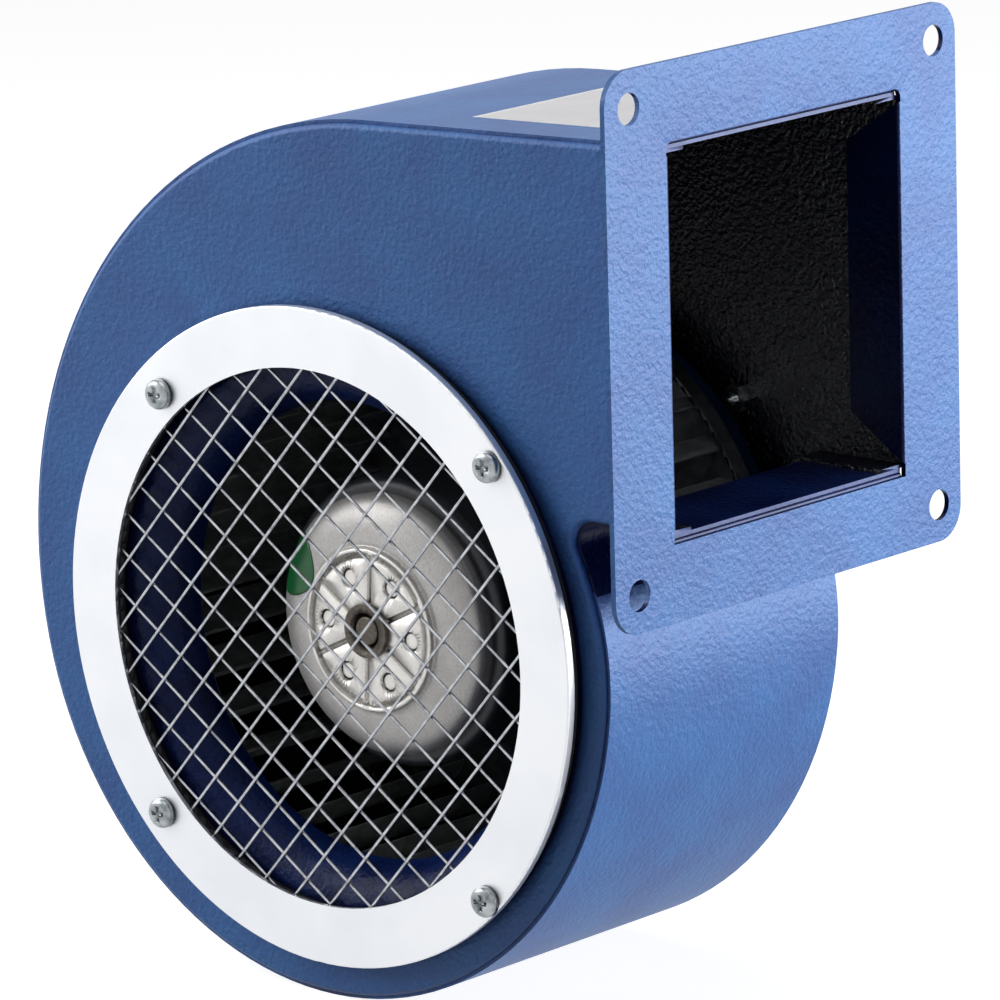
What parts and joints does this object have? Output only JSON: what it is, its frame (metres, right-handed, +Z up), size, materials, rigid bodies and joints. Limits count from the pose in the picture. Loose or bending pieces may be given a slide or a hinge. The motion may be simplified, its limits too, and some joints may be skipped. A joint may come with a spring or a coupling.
{
  "type": "centrifugal fan",
  "caption": "Centrifugal fan: sheet-steel scroll housing, wire-meshed round inlet, forward-curved wheel on an external-rotor motor, flanged outlet.",
  "frame": {"origin": "centre of the outlet flange's bolt pattern, on the flange's face", "axes": "+X out of the outlet, square to the flange; +Y along the wheel's axis from the inlet side to the motor side; +Z up"},
  "size_m": [0.2312, 0.1418, 0.2667],
  "materials": {
    "enamel": "hammered blue enamel on sheet steel",
    "white_ring": "bright white painted ring with a bare edge",
    "guard_wire": "zinc-plated wire mesh",
    "zinc_fastener": "bright zinc-plated fasteners",
    "black_rubber": "matte black rubber",
    "cast_alloy": "die-cast aluminium, as cast",
    "galvanised": "galvanised sheet steel",
    "dark_shell": "dark coated drawn steel",
    "core_steel": "stacked electrical steel",
    "copper_coil": "varnished copper winding",
    "bearing_steel": "ground bearing steel",
    "ground_steel": "turned and ground steel"
  },
  "bodies": {
    "housing": {"front_side_plate": "enamel", "rear_side_plate": "enamel", "scroll_wrap": "enamel", "cutoff_sheet": "enamel", "outlet_flange": "enamel", "inlet_nozzle": "enamel", "guard_spacer": "black_rubber", "guard_ring": "white_ring", "rising_guard_wires": "guard_wire", "falling_guard_wires": "guard_wire", "guard_screws": "zinc_fastener", "guard_nuts": "zinc_fastener", "motor_plate": "enamel", "motor_plate_screws": "zinc_fastener", "motor_plate_nuts": "zinc_fastener", "motor_screws": "zinc_fastener", "stator_base": "cast_alloy", "stator_core": "core_steel", "front_winding": "copper_coil", "rear_winding": "copper_coil", "front_bearing_outer": "bearing_steel", "rear_bearing_outer": "bearing_steel", "cable_grommet": "black_rubber"},
    "wheel": {"front_bearing_inner": "bearing_steel", "rear_bearing_inner": "bearing_steel", "shaft": "ground_steel", "retaining_clip": "ground_steel", "hub_bush": "ground_steel", "rotor_cap": "cast_alloy", "hub_pins": "cast_alloy", "rotor_shell": "dark_shell", "rotor_core": "core_steel", "impeller_blades": "galvanised", "impeller_front_ring": "galvanised", "impeller_disc": "galvanised", "impeller_rivets": "galvanised"}
  },
  "joints": [
    {"name": "wheel_spin", "type": "hinge", "parent": "housing", "child": "wheel", "pos_m": [-0.1175, 0, -0.09379], "axis": [0, 1, 0], "continuous": true}
  ]
}
